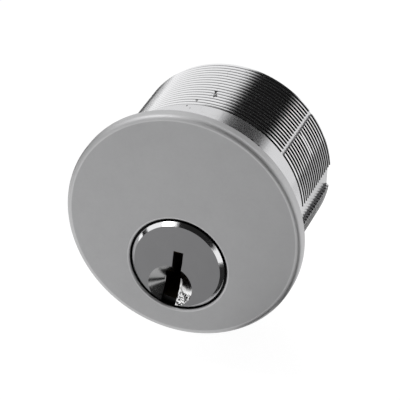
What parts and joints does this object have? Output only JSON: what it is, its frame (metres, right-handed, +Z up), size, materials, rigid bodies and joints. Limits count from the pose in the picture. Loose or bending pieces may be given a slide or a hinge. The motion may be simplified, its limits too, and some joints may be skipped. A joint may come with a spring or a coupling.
{
  "type": "mortise lock cylinder",
  "caption": "Threaded mortise lock cylinder with a round head, an off-centre plug on sprung pins, set-screw grooves and a rear cam.",
  "frame": {"origin": "centre of the head's rear seating face, on the barrel's axis", "axes": "+Y along the barrel to the rear, the face looks along -Y, +Z up with the plug below the axis"},
  "size_m": [0.0346, 0.0275, 0.0346],
  "materials": {
    "satin_body": "satin chrome plate on brass",
    "satin_plug": "satin chrome plate on brass, bright on the bevel",
    "pin_brass": "turned",
    "spring_wire": "drawn wire",
    "cam_plate": "tumbled plate",
    "screw_steel": "zinc plate"
  },
  "bodies": {
    "cylinder": {"cylinder_body": "satin_body", "chamber_cap_1": "satin_body", "chamber_cap_2": "satin_body", "chamber_cap_3": "satin_body", "chamber_cap_4": "satin_body", "chamber_cap_5": "satin_body", "spring_1": "spring_wire", "spring_2": "spring_wire", "spring_3": "spring_wire", "spring_4": "spring_wire", "spring_5": "spring_wire"},
    "plug": {"plug": "satin_plug", "cam": "cam_plate", "cam_screw_1": "screw_steel", "cam_screw_2": "screw_steel"},
    "key_pin_1": {"key_pin_1": "pin_brass"},
    "driver_pin_1": {"driver_pin_1": "pin_brass"},
    "key_pin_2": {"key_pin_2": "pin_brass"},
    "driver_pin_2": {"driver_pin_2": "pin_brass"},
    "key_pin_3": {"key_pin_3": "pin_brass"},
    "driver_pin_3": {"driver_pin_3": "pin_brass"},
    "key_pin_4": {"key_pin_4": "pin_brass"},
    "driver_pin_4": {"driver_pin_4": "pin_brass"},
    "key_pin_5": {"key_pin_5": "pin_brass"},
    "driver_pin_5": {"driver_pin_5": "pin_brass"}
  },
  "joints": [
    {"name": "plug_turn", "type": "hinge", "parent": "cylinder", "child": "plug", "pos_m": [0, 0, -0.0062], "axis": [0, 1, 0], "continuous": true},
    {"name": "key_pin_1_rise", "type": "slide", "parent": "plug", "child": "key_pin_1", "axis": [0, 0, 1], "range_m": [0, 0.00095]},
    {"name": "driver_pin_1_rise", "type": "slide", "parent": "cylinder", "child": "driver_pin_1", "axis": [0, 0, 1], "range_m": [0, 0.0026], "stiffness_N_per_m": 60, "springref_m": -0.004, "deforming": ["spring_1"]},
    {"name": "key_pin_2_rise", "type": "slide", "parent": "plug", "child": "key_pin_2", "axis": [0, 0, 1], "range_m": [0, 0.00205]},
    {"name": "driver_pin_2_rise", "type": "slide", "parent": "cylinder", "child": "driver_pin_2", "axis": [0, 0, 1], "range_m": [0, 0.0026], "stiffness_N_per_m": 60, "springref_m": -0.004, "deforming": ["spring_2"]},
    {"name": "key_pin_3_rise", "type": "slide", "parent": "plug", "child": "key_pin_3", "axis": [0, 0, 1], "range_m": [0, 0.0004]},
    {"name": "driver_pin_3_rise", "type": "slide", "parent": "cylinder", "child": "driver_pin_3", "axis": [0, 0, 1], "range_m": [0, 0.0026], "stiffness_N_per_m": 60, "springref_m": -0.004, "deforming": ["spring_3"]},
    {"name": "key_pin_4_rise", "type": "slide", "parent": "plug", "child": "key_pin_4", "axis": [0, 0, 1], "range_m": [0, 0.0015]},
    {"name": "driver_pin_4_rise", "type": "slide", "parent": "cylinder", "child": "driver_pin_4", "axis": [0, 0, 1], "range_m": [0, 0.0026], "stiffness_N_per_m": 60, "springref_m": -0.004, "deforming": ["spring_4"]},
    {"name": "key_pin_5_rise", "type": "slide", "parent": "plug", "child": "key_pin_5", "axis": [0, 0, 1], "range_m": [0, 0.0026]},
    {"name": "driver_pin_5_rise", "type": "slide", "parent": "cylinder", "child": "driver_pin_5", "axis": [0, 0, 1], "range_m": [0, 0.0026], "stiffness_N_per_m": 60, "springref_m": -0.004, "deforming": ["spring_5"]}
  ]
}
